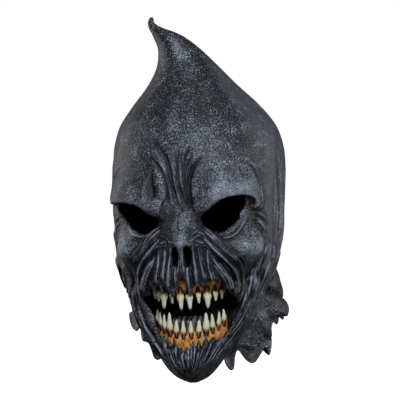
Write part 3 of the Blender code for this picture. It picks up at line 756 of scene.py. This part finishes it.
def makeBone(look):
    mat, tree, shader = startMaterial("stainedResinBone", look["roughness"], 1.52)
    place = addNode(tree, "TexCoord", {}, "Object")
    stain = addNode(tree, "Attribute", {"attribute_name": "stain"}, "Fac")
    grain = addNode(tree, "TexNoise", {"Vector": place, "Scale": 1 / look["grain"], "Detail": 4.0,
                                       "Roughness": 0.6})
    pore = addNode(tree, "TexNoise", {"Vector": place, "Scale": 1 / look["pore"], "Detail": 2.0})
    base = addNode(tree, "ValToRGB", {
        "Fac": grain, "stops": [(0.3, look["brown"]), (0.48, look["ochre"]), (0.68, look["pale"])]})
    worn = addNode(tree, "Math", {"operation": "MULTIPLY_ADD", 0: pore, 1: 0.8, 2: -0.4})
    dark = addNode(tree, "Math", {"operation": "ADD", "use_clamp": True, 0: stain, 1: worn})
    colour = addNode(tree, "Mix", {"data_type": "RGBA", 0: dark, 6: base, 7: look["pitStainAndShade"]}, 2)
    tree.links.new(colour, shader.inputs["Base Color"])
    bump = addNode(tree, "Bump", {"Strength": 0.4, "Distance": 0.0008, "Height": grain})
    tree.links.new(bump, shader.inputs["Normal"])
    return mat


# Teeth: cast resin, ivory at the tip and down the front, with a red-brown wash run in at the root and painted
# shade, darkest, at the root itself.
toothLook = {"root": "#2a0e08", "wash": "#b26a30", "body": "#fff0bc", "tip": "#fffcdc", "streak": 0.0011,
             "roughness": 0.3}


def makeTooth(look):
    mat, tree, shader = startMaterial("ivoryResinTooth", look["roughness"], 1.54)
    place = addNode(tree, "TexCoord", {}, "Object")
    height = addNode(tree, "Attribute", {"attribute_name": "height"}, "Fac")
    # fine streaks from root to tip, six times as long as they are wide
    stretch = (1 / look["streak"], 1 / look["streak"], 1 / (look["streak"] * 6))
    stretched = addNode(tree, "Mapping", {"Vector": place, "Scale": stretch})
    streak = addNode(tree, "TexNoise", {"Vector": stretched, "Scale": 1.0, "Detail": 3.0})
    level = addNode(tree, "Math", {"operation": "MULTIPLY_ADD", 0: streak, 1: 0.24, 2: -0.12})
    level = addNode(tree, "Math", {"operation": "ADD", 0: height, 1: level})
    # painted shade darkest at the root, then the red-brown wash
    stops = [(0.0, look["root"]), (0.07, look["wash"]), (0.2, look["body"]), (0.5, look["tip"])]
    colour = addNode(tree, "ValToRGB", {"Fac": level, "stops": stops})
    tree.links.new(colour, shader.inputs["Base Color"])
    bump = addNode(tree, "Bump", {"Strength": 0.15, "Distance": 0.0004, "Height": streak})
    tree.links.new(bump, shader.inputs["Normal"])
    return mat


bone, tooth = makeBone(boneLook), makeTooth(toothLook)

# Arches and teeth: the ellipse each row stands on, then angle, width and length of each tooth
upperJaw = {"centre": -62, "across": 39, "deep": 36, "gum": -193.5, "edge": -172, "pitch": 4, "down": -1,
            "body": "mask", "replaces": ["upper_dental_plate"], "thick": 7, "pits": 0.6,
            "teeth": [("incisor", 6.5, 6.8, 18.5), ("lateral", 20, 4.9, 12.5), ("fang", 34, 7.8, 18),
                      ("premolar", 48, 5.3, 12), ("molar", 62, 5.3, 11)]}
lowerJaw = {"centre": -57, "across": 37.5, "deep": 33, "gum": -237.5, "edge": -258, "pitch": 28, "down": 1,
            "body": "jaw", "replaces": ["lower_dental_plate"], "thick": 7, "pits": 1.0,
            "teeth": [("incisor", 6, 5.0, 14), ("lateral", 18, 5.4, 14.5), ("fang", 30, 7.0, 20),
                      ("firstPremolar", 41.5, 5.0, 16), ("secondPremolar", 53, 4.8, 15),
                      ("molar", 66, 5.6, 13.5)]}


def archPoint(jaw, angle, out, z):
    # on the ellipse, out in front of it, tilted up to the back by the pitch
    x, y = (jaw["across"] + out) * math.sin(angle), jaw["centre"] - (jaw["deep"] + out) * math.cos(angle)
    return Vector((x, y, z + (y - (jaw["centre"] - jaw["deep"])) * math.tan(math.radians(jaw["pitch"]))))


# The plates: where the front ends, the collars round the roots, the peaks and the dips between them
plateLook = {"columns": 150, "rings": 22, "reachDeg": 78, "front": 0.62, "collar": 1.9, "peak": 3.4,
             "dip": 3.0}


def makePlate(name, jaw):
    # the bone the teeth stand in: an arch with a collar round each root and peaks between them
    columns, rings, front = plateLook["columns"], plateLook["rings"], plateLook["front"]
    bm, i, j = gridMesh(columns, rings)
    mean = (jaw["across"] + jaw["deep"]) / 2
    toothAngles = [sign * t[1] for t in jaw["teeth"] for sign in (-1, 1)]
    toothWidths = [t[2] for t in jaw["teeth"] for sign in (-1, 1)]
    tall = jaw["gum"] - jaw["edge"]
    stain = np.zeros(len(bm.verts))
    for v, column, ring in zip(bm.verts, i, j):
        angle = math.radians(plateLook["reachDeg"] * (2 * column / (columns - 1) - 1))
        share = ring / (rings - 1)
        arc = angle * mean
        gaps = [abs(arc - math.radians(a) * mean) / (w / 2) for a, w in zip(toothAngles, toothWidths)]
        close = math.exp(-min(gaps) ** 2.0 * 1.1)
        # rings run up the front, over the edge and down the back
        if share < front:
            height = share / front
            collar = math.exp(-((height - 0.68) / 0.24) ** 2) * close * plateLook["collar"]
            collar += 0.5 * math.sin(arc * 0.9 + height * 5) * (1 - height)
            out = collar - 2.4 * max(0, height - 0.8) / 0.2 * close - 1.2 * (height > 0.95)
            level = height
        else:
            down = (share - front) / (1 - front)
            level = 1 - 0.85 * down
            out = -3.4 - (jaw["thick"] - 3.4) * min(1, down * 3)
        edge = plateLook["peak"] * (1 - close) ** 1.5 - plateLook["dip"] * close
        z = jaw["edge"] + (tall + jaw["down"] * (edge + 0.5 * math.sin(arc * 2.3))) * level
        v.co = archPoint(jaw, angle, out, z)
        # brown rubbed in, with painted shade, round each root near the top of the gum, and painted shade
        # along the plate's far edge
        stain[v.index] = jaw["pits"] * close * stepUp(0.8, 0.97, level) + 0.3 * (1 - stepUp(0.0, 0.3, level))
        # painted shade over the back of the plate
        stain[v.index] += 0.9 * (share > front)
    bmesh.ops.holes_fill(bm, edges=[e for e in bm.edges if e.is_boundary], sides=0)
    bmesh.ops.triangulate(bm, faces=[f for f in bm.faces if len(f.verts) > 4])
    bmesh.ops.recalc_face_normals(bm, faces=bm.faces)
    stain = {"stain": np.clip(stain, 0, 1)}
    return finishPiece(name, bm, bone, jaw["body"], jaw["replaces"], stain)


def makeTeeth(name, jaw):
    # each tooth is a cone of rings, swollen at the neck, flattened and hooked in at the tip
    bm = bmesh.new()
    heights = []
    for kind, angle, wide, length in jaw["teeth"]:
        for sign in (1, -1):
            own = np.random.default_rng(int(angle * 10) + sign)
            made = bmesh.ops.create_grid(bm, x_segments=16, y_segments=15, size=0.5)["verts"]
            lean, grow = own.uniform(-0.07, 0.07), own.uniform(0.95, 1.04)
            at = math.radians(sign * angle)
            base = archPoint(jaw, at, 0.4, jaw["gum"])
            outward = Vector((math.sin(at), -math.cos(at), 0))
            sideways = Vector((math.cos(at), math.sin(at), 0))
            axis = (Vector((0, 0, jaw["down"])) + outward * 0.12 + sideways * lean).normalized()
            for v in made:
                about, t = (v.co.x + 0.5) * 2 * math.pi, v.co.y + 0.5
                rise = -5.0 + (length * grow + 5.0) * t
                up = max(0, rise) / length
                neck = 0.9 + 0.28 * math.sin(math.pi * min(1, up * 1.7)) ** 2
                body = math.sqrt(max(0, 1 - up ** 1.9)) * neck
                if rise < 0:
                    body = 0.9 + 0.04 * rise
                ridge = 1 + 0.03 * math.sin(about * 5 + angle) * (1 - up)
                a, b = math.cos(about) * wide / 2 * body * ridge, math.sin(about) * wide * 0.42 * body
                hook = -1.6 * up * up
                v.co = base + axis * rise + sideways * a + outward * (b + hook)
                heights.append(up)
            bm.verts.ensure_lookup_table()
    order = np.array(heights)
    layer = bm.verts.layers.float.new("height")
    for v, h in zip(bm.verts, order):
        v[layer] = h
    bmesh.ops.remove_doubles(bm, verts=bm.verts, dist=0.03)
    bmesh.ops.holes_fill(bm, edges=[e for e in bm.edges if e.is_boundary], sides=0)
    bmesh.ops.recalc_face_normals(bm, faces=bm.faces)
    order = np.array([v[layer] for v in bm.verts])
    bm.verts.layers.float.remove(layer)
    row = "upper" if jaw is upperJaw else "lower"
    replaced = [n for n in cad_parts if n.startswith((row + "_left", row + "_right"))]
    return finishPiece(name, bm, tooth, jaw["body"], replaced, {"height": order})


makePlate("upperBone", upperJaw)
makePlate("lowerBone", lowerJaw)
makeTeeth("upperTeeth", upperJaw)
makeTeeth("lowerTeeth", lowerJaw)
print("bone plates and teeth set")


# Tongue: the same cast rubber, painted a wet grey-green over black, with grooves across it; the colour is
# darker in the grooves as painted shade and lighter on the rib tops
tongueLook = {"low": "#14171a", "high": "#777b78", "grain": 0.0012, "roughness": 0.3,
              "centre": (0, -74.5, -230), "half": (21, 10, 9.5), "ribs": 15}


def makeTongue(look):
    mat, tree, shader = startMaterial("paintedRubberTongue", look["roughness"], 1.5)
    lift = addNode(tree, "Attribute", {"attribute_name": "lift"}, "Fac")
    place = addNode(tree, "TexCoord", {}, "Object")
    grain = addNode(tree, "TexNoise", {"Vector": place, "Scale": 1 / look["grain"], "Detail": 3.0})
    level = addNode(tree, "Math", {"operation": "MULTIPLY_ADD", 0: grain, 1: 0.9, 2: -0.45})
    level = addNode(tree, "Math", {"operation": "ADD", 0: lift, 1: level})
    colour = addNode(tree, "ValToRGB", {"Fac": level, "stops": [(0.15, look["low"]), (0.8, look["high"])]})
    tree.links.new(colour, shader.inputs["Base Color"])
    bm = bmesh.new()
    bmesh.ops.create_uvsphere(bm, u_segments=120, v_segments=60, radius=1)
    lifts = []
    for v in bm.verts:
        x, y, z = v.co
        rib = math.cos(x * look["ribs"] * 1.6 + 0.8 * math.sin(y * 4)) * (1 - x * x) ** 0.5
        groove = math.exp(-(x / 0.08) ** 2)
        flat = math.copysign(abs(z) ** 0.6, z)
        v.co = [c + h * k for c, h, k in zip(look["centre"], look["half"], (x, y, flat))]
        v.co.z += (0.7 * rib - 1.2 * groove) * (z > 0) * min(1, 3 * abs(z))
        v.co.y -= 0.5 * rib * (y < 0)
        # painted shade in the grooves, lighter paint on the rib tops
        lifts.append(0.5 + 0.42 * rib - 0.4 * groove)
    return finishPiece("ribbedTongue", bm, mat, "jaw", ["tongue"], {"lift": lifts})


makeTongue(tongueLook)

# Gauze behind the teeth: black polyester net, threads 1.5 mm apart, stretched across the mouth; the gaps
# between the threads are painted shade, near black, on the solid sheet
gauzeLook = {"thread": "#0b0b0c", "gapShade": "#020203", "pitch": 0.0015, "roughness": 0.9, "thick": 0.5,
             "half": 52, "halfLow": 38, "taper": -226, "top": -182, "bottom": -248}


def makeGauze(look):
    mat, tree, shader = startMaterial("blackPolyesterGauze", look["roughness"], 1.5)
    skin = addNode(tree, "UVMap", {"uv_map": "skin"})
    cells = addNode(tree, "Mapping", {"Vector": skin, "Scale": (1 / look["pitch"], 1 / look["pitch"], 1)})
    weave = addNode(tree, "TexBrick", {"Vector": cells, "offset": 0.0, "Scale": 1.0, "Mortar Size": 0.16,
                                       "Brick Width": 1.0, "Row Height": 1.0, "Color1": look["gapShade"],
                                       "Color2": look["gapShade"], "Mortar": look["thread"]})
    tree.links.new(weave, shader.inputs["Base Color"])
    columns, rows = 41, 34
    bm, i, j = gridMesh(columns, rows)
    uvs = np.zeros((len(bm.verts), 2))
    for v, column, row in zip(bm.verts, i, j):
        share = 2 * column / (columns - 1) - 1
        z = look["bottom"] + (look["top"] - look["bottom"]) * row / (rows - 1)
        below = max(0, (look["taper"] - z) / (look["taper"] - look["bottom"]))
        half = look["half"] + (look["halfLow"] - look["half"]) * below
        v.co = (half * share, -65.5 + 8.5 * share * share, z)
        uvs[v.index] = (half * share * 1.01, z)
    bmesh.ops.recalc_face_normals(bm, faces=bm.faces)
    if sum(f.normal.y for f in bm.faces) > 0:
        bmesh.ops.reverse_faces(bm, faces=bm.faces)
    gauze = finishPiece("mouthGauze", bm, mat, "jaw", ["mouth_scrim"], None, uvs)
    wall(gauze, look["thick"])
    return gauze


makeGauze(gauzeLook)

# Foam pads: cut charcoal polyurethane foam, open cells about 1 mm across, painted darker in the cells than on
# their walls as shade
foamLook = {"cellShade": "#17181a", "wall": "#34363a", "size": 0.0011, "roughness": 0.95,
            "clear": -6.2, "swell": 1.2, "peakLow": 8.4, "peakTall": 50}


def makeFoam(look):
    mat, tree, shader = startMaterial("charcoalFoam", look["roughness"], 1.45)
    place = addNode(tree, "TexCoord", {}, "Object")
    cells = addNode(tree, "TexVoronoi", {"Vector": place, "Scale": 1 / look["size"]})
    # painted shade in the open cells
    colour = addNode(tree, "ValToRGB", {"Fac": cells, "stops": [(0.2, look["cellShade"]), (0.6, look["wall"])]})
    tree.links.new(colour, shader.inputs["Base Color"])
    bump = addNode(tree, "Bump", {"Strength": 0.6, "Distance": 0.0006, "invert": True, "Height": cells})
    tree.links.new(bump, shader.inputs["Normal"])
    return mat


foam = makeFoam(foamLook)


def makePads():
    low, high = (np.array(c) * 1000 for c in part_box("crown_pad"))
    bm = bmesh.new()
    bmesh.ops.create_cone(bm, cap_ends=True, segments=64, radius1=1, radius2=1, depth=1)
    bmesh.ops.scale(bm, vec=(high - low) / (2, 2, 1), verts=bm.verts)
    bmesh.ops.translate(bm, vec=(low + high) / 2, verts=bm.verts)
    rims = [e for e in bm.edges if abs(e.verts[0].co.z - e.verts[1].co.z) < 1]
    bmesh.ops.bevel(bm, geom=rims, offset=2.5, offset_type="OFFSET", affect="EDGES", segments=4, profile=0.5,
                    material=-1)
    finishPiece("crownPad", bm, foam, "mask", ["crown_pad"])

    low, high = (np.array(c) * 1000 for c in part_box("chin_pad"))
    bm = bmesh.new()
    bmesh.ops.create_cube(bm, size=1)
    bmesh.ops.scale(bm, vec=high - low, verts=bm.verts)
    bmesh.ops.translate(bm, vec=(low + high) / 2, verts=bm.verts)
    bmesh.ops.bevel(bm, geom=bm.edges, offset=4, offset_type="OFFSET", affect="EDGES", segments=5,
                    profile=0.5, material=-1)
    finishPiece("chinPad", bm, foam, "jaw", ["chin_pad"])

    # the filler follows the inside of the peak
    columns, rows = 49, 30
    bm, i, j = gridMesh(columns, rows)
    s, share = i / (columns - 1) * turn, j / (rows - 1)
    inside = foamLook["clear"] + foamLook["swell"] * np.sin(math.pi * share)
    z = foamLook["peakLow"] + foamLook["peakTall"] * share
    for v, co in zip(bm.verts, skinPoint(s, z, inside)):
        v.co = co
    bmesh.ops.remove_doubles(bm, verts=bm.verts, dist=0.01)
    bmesh.ops.holes_fill(bm, edges=[e for e in bm.edges if e.is_boundary], sides=0)
    bmesh.ops.recalc_face_normals(bm, faces=bm.faces)
    finishPiece("peakFiller", bm, foam, "mask", ["peak_filler"])


makePads()
print("tongue, gauze and pads in")

# Neck skirt: angle round from the back (0) to the front on each side, and how far down, out and curled
# its torn edge hangs
skirtLook = {
    "columns": 320, "rows": 64, "reachDeg": 128,
    # angle, hem height, hem flare, curl out at the edge
    "hem": [(-128, -258, -8, 1), (-118, -270, -2, 3), (-110, -252, 0, 3), (-103, -262, 0, 2),
            (-96, -242, 3, 5), (-90, -236, 2, 3), (-84, -246, 4, 4), (-76, -232, 4, 6), (-68, -240, 6, 3),
            (-60, -226, 5, 5), (-48, -234, 8, 4), (-36, -222, 6, 4), (-24, -232, 8, 3), (-12, -220, 6, 4),
            (0, -230, 8, 3), (12, -220, 6, 4), (24, -232, 8, 3), (36, -222, 6, 4), (46, -234, 8, 4),
            (54, -224, 6, 4), (62, -240, 8, 5), (68, -232, 6, 3), (75, -246, 3, 5), (81, -238, 2, 4),
            (87, -258, 4, 6), (93, -270, 7, 6), (99, -262, 9, 8), (104, -277, 6, 5), (109, -262, -2, 3),
            (116, -281, -2, 3), (124, -275, -6, 2), (128, -264, -8, 1)],
    # torn layers that stand out round it: angle, half width, top, bottom, how far out
    "layers": [(80, 13, -174, -206, 10), (77, 12, -205, -231, 17), (92, 11, -222, -250, 9),
               (60, 14, -172, -214, 9), (44, 12, -170, -204, 7), (101, 9, -238, -262, 8),
               (-99, 10, -205, -231, 9), (-88, 11, -196, -222, 6), (-110, 9, -228, -252, 7),
               (-66, 14, -172, -214, 9), (-42, 13, -170, -206, 8), (-18, 13, -176, -212, 7),
               (12, 15, -172, -208, 7)],
}


def underSkirt(s, z, drop):
    # the skin a little inside the hood's, which keeps its size below the rim
    return skinPoint(s, np.maximum(z, drop), np.full(len(s), -4.2))


def makeSkirt(look):
    bm, i, j = gridMesh(look["columns"], look["rows"])
    angle = (2 * i / (look["columns"] - 1) - 1) * look["reachDeg"]
    t = j / (look["rows"] - 1)
    path = smoothPath(np.array(look["hem"], float), 5)
    hemZ, flare, curl = (np.interp(angle, path[:, 0], path[:, k]) for k in (1, 2, 3))
    s = turn / 2 - np.radians(angle) * 100
    near = np.abs(angle) / look["reachDeg"]
    topZ = np.interp(np.abs(angle), [0, 60, 78, 86, 95, 105, 115, 128],
                     [-170, -171, -174, -190, -195, -199, -203, -210])
    hemZ = hemZ + 2.2 * wander(angle, angle * 0, 8, 5)
    z = topZ + (hemZ - topZ) * t
    outward = np.stack([np.sin(s / 100), -np.cos(s / 100), np.zeros(len(s))], axis=1)
    fold = np.sin(np.radians(angle * 9) + 0.6 * np.sin(np.radians(angle * 3.1)))
    out = flare * t ** 1.3 + fold * 3.2 * t + curl * np.clip((t - 0.78) / 0.22, 0, 1) ** 2
    out += 0.9 * wander(angle, z, 12, 14) * t
    place = underSkirt(s, topZ, topZ)
    inwards = np.clip((topZ - z) / 60, 0, 1) * stepUp(0.55, 0.95, near)
    place[:, 0] *= 1 - 0.34 * inwards
    place[:, 2] = z + np.clip((t - 0.85) / 0.15, 0, 1) ** 2 * curl * 0.5
    place += outward * out[:, None]
    layered, edge, shadowUnderLayer = np.zeros(len(s)), np.zeros(len(s)), np.zeros(len(s))
    for n, (at, half, high, low, far) in enumerate(look["layers"]):
        across = (angle - at) / half + 0.12 * np.sin(z / 5 + n)
        foot = low + 0.42 * (high - low) * across ** 2 + 1.2 * np.sin(angle * 0.45 + n)
        deep = np.clip((high - z) / (high - foot), 0, 1)
        inside = (np.abs(across) < 1) & (z < high) & (z > foot)
        lift = far * (1 - across ** 2) * np.sin(0.66 * math.pi * deep) + 0.8 * np.sin(across * 6 + n) * deep
        better = inside & (lift > layered)
        layered[better] = lift[better]
        edge[better] = stepUp(0.75, 0.95, deep[better])
        below = (np.abs(across) < 0.9) & (z <= foot) & (z > foot - 5)
        shadowUnderLayer[below] = np.maximum(shadowUnderLayer[below], 1 - (foot - z)[below] / 5)
    place += outward * layered[:, None]
    for v, co in zip(bm.verts, place):
        v.co = co
    # the fold crests carry painted highlight and the fold hollows painted shade; the hem and the torn layers'
    # lower edges are brushed lighter
    brushed = 0.08 + 0.28 * fold * t + 0.2 * (t > 0.93) + 0.28 * edge + 0.36 * wander(angle, z, 15, 12)
    groove, flow = np.clip(0.2 - 0.5 * fold, 0, 0.8) * t, np.stack([angle * 1.2, z], axis=1)
    # painted shadow under each torn layer
    groove = np.maximum(groove, 0.9 * shadowUnderLayer)
    bmesh.ops.recalc_face_normals(bm, faces=bm.faces)
    outside = sum(f.normal.dot(f.calc_center_median() * Vector((1, 1, 0)) - Vector((0, 10,
                                                                                    0))) for f in bm.faces)
    if outside < 0:
        bmesh.ops.reverse_faces(bm, faces=bm.faces)
    plain = np.zeros(len(groove))
    values = {"brushed": brushed, "groove": groove, "side": plain, "fibre": plain}
    skirt = finishPiece("neckSkirt", bm, latex, "mask", ["neck_skirt"], values, flow, latexInside)
    wall(skirt, 1.9, True)
    return skirt


makeSkirt(skirtLook)
print("neck skirt torn")

# Studio
studioLook = {"floorZ": -0.43, "azimuth": 11.3, "elevation": 2.5, "roll": 1.7, "distance": 1.55,
              "lens": 129.8, "aim": (-0.0008, -0.105),
              "ambient": 0.06}


def softbox(name, place, size, power, aim=(0, 0, -0.1), tint="#ffffff"):
    data = bpy.data.lights.new(name, "AREA")
    data.shape, data.size, data.size_y, data.energy = "RECTANGLE", size[0], size[1], power
    data.color = linearColour(tint)[:3]
    lamp = bpy.data.objects.new(name, data)
    lamp.location = place
    lamp.rotation_euler = (Vector(aim) - Vector(place)).to_track_quat("-Z", "Y").to_euler()
    bpy.context.scene.collection.objects.link(lamp)


def makeStudio(look):
    mat, tree, shader = startMaterial("whitePaperSweep", 0.9)
    shader.inputs["Base Color"].default_value = linearColour("#fbfbfb")
    shader.inputs["Emission Color"].default_value = linearColour("#ffffff")
    shader.inputs["Emission Strength"].default_value = 1.0
    bm = bmesh.new()
    bmesh.ops.create_grid(bm, x_segments=1, y_segments=1, size=12)
    bmesh.ops.translate(bm, vec=(0, 0, look["floorZ"]), verts=bm.verts)
    mesh = bpy.data.meshes.new("floor")
    bm.to_mesh(mesh)
    bm.free()
    mesh.materials.append(mat)
    floor = bpy.data.objects.new("floor", mesh)
    floor.visible_diffuse = floor.visible_glossy = False
    bpy.context.scene.collection.objects.link(floor)
    softbox("keySoftbox", (0.5, -1.3, 0.82), (0.45, 0.45), 16, tint="#eef4ff")
    softbox("leftStrip", (-1.1, 0.25, 0.0), (0.9, 1.4), 6)
    softbox("rightStrip", (1.15, 0.35, 0.0), (0.9, 1.4), 6)
    softbox("lowFill", (0.1, -1.3, -0.75), (0.9, 0.5), 10, (0, 0, -0.2), "#f2f6ff")
    softbox("topSoftbox", (0.1, -0.1, 1.2), (0.7, 0.7), 2)
    world = bpy.data.worlds.new("whiteStudio")
    bpy.context.scene.world = world
    world.use_nodes = True
    tree = world.node_tree
    # the camera sees white, and the light from it on the mask is faint
    seen = addNode(tree, "LightPath", {}, "Is Camera Ray")
    faint = look["ambient"]
    glow = addNode(tree, "Math", {"operation": "MULTIPLY_ADD", 0: seen, 1: 1 - faint, 2: faint})
    tree.links.new(glow, tree.nodes["Background"].inputs["Strength"])
    tree.nodes["Background"].inputs["Color"].default_value = (1, 1, 1, 1)
    camera = bpy.data.objects.new("camera", bpy.data.cameras.new("camera"))
    camera.data.lens, camera.data.sensor_width, camera.data.clip_end = look["lens"], 36, 50
    az, el, roll = (math.radians(look[k]) for k in ("azimuth", "elevation", "roll"))
    right = Vector((math.cos(az), math.sin(az), 0))
    forward = Vector((-math.sin(az) * math.cos(el), math.cos(az) * math.cos(el), -math.sin(el)))
    up = right.cross(forward)
    x, y = right * math.cos(roll) - up * math.sin(roll), right * math.sin(roll) + up * math.cos(roll)
    place = right * look["aim"][0] + Vector((0, 0, look["aim"][1])) - forward * look["distance"]
    camera.matrix_world = Matrix((x, y, -forward)).transposed().to_4x4()
    camera.location = place
    bpy.context.scene.collection.objects.link(camera)
    bpy.context.scene.camera = camera
    bpy.context.scene.view_settings.view_transform = "Standard"


makeStudio(studioLook)
print("studio lit")
